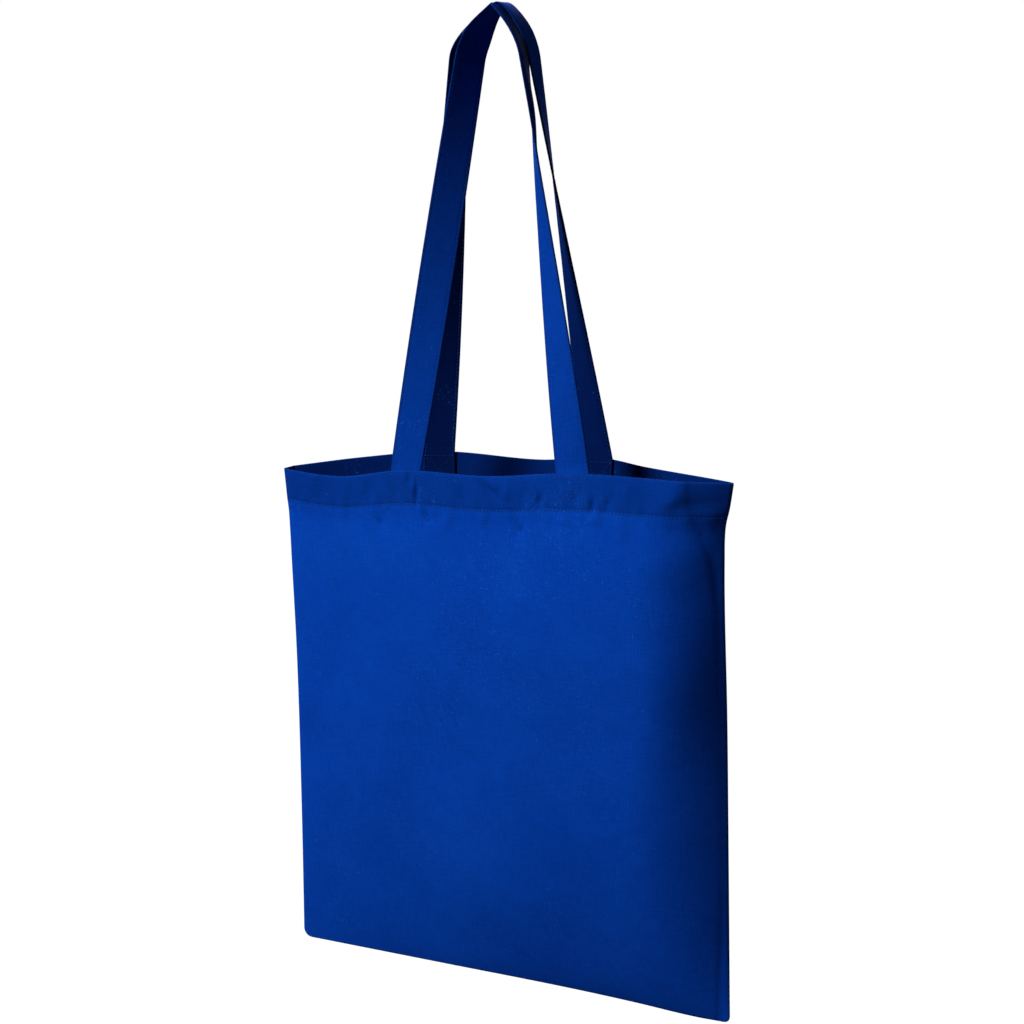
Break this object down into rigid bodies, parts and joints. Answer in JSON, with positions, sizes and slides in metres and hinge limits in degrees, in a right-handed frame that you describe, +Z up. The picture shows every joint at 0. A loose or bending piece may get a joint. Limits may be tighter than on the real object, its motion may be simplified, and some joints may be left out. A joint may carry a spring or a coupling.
{
  "type": "tote bag",
  "caption": "Plain blue cotton tote bag with a turned hem and long flat handles, hanging with its handles drawn together as over a hook and its mouth a little open.",
  "frame": {"origin": "the point where a hook bears on the underside of the inner handle, in the middle of its width at the crest", "axes": "+Z up, +X to the right as the bag's front is seen, and the front of the bag towards -Y"},
  "size_m": [0.3796, 0.0972, 0.7767],
  "materials": {
    "bag_cloth": "matt plain-weave cotton",
    "handle_cloth": "matt plain-weave cotton"
  },
  "bodies": {
    "root": {"bag_body": "bag_cloth", "front_handle": "handle_cloth", "back_handle": "handle_cloth"}
  },
  "joints": []
}
